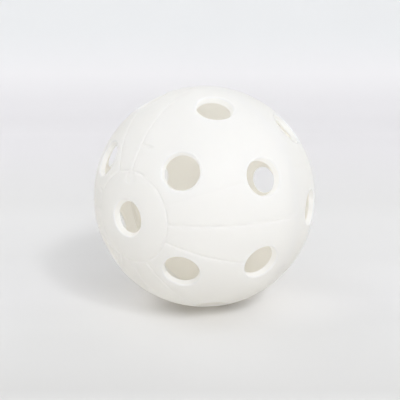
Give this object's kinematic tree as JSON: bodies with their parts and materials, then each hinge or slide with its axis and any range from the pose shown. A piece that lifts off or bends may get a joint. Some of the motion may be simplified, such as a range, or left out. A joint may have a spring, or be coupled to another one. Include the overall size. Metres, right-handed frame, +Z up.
{
  "type": "floorball ball",
  "caption": "Hollow white plastic ball with round holes all over, moulded as half shells with fine panel grooves and welded round the middle, for floorball.",
  "frame": {"origin": "centre of the ball", "axes": "+Z up as the ball lies in the picture, -Z to the point it lies on, +Y away from the viewer, +X to the viewer's right"},
  "size_m": [0.072, 0.072, 0.072],
  "materials": {
    "white_polyethylene": "moulded satin, slightly translucent",
    "fused_polyethylene": "melted and set, trimmed flush outside"
  },
  "bodies": {
    "root": {"half_shell_near": "white_polyethylene", "half_shell_far": "white_polyethylene", "weld_bead": "fused_polyethylene"}
  },
  "joints": []
}
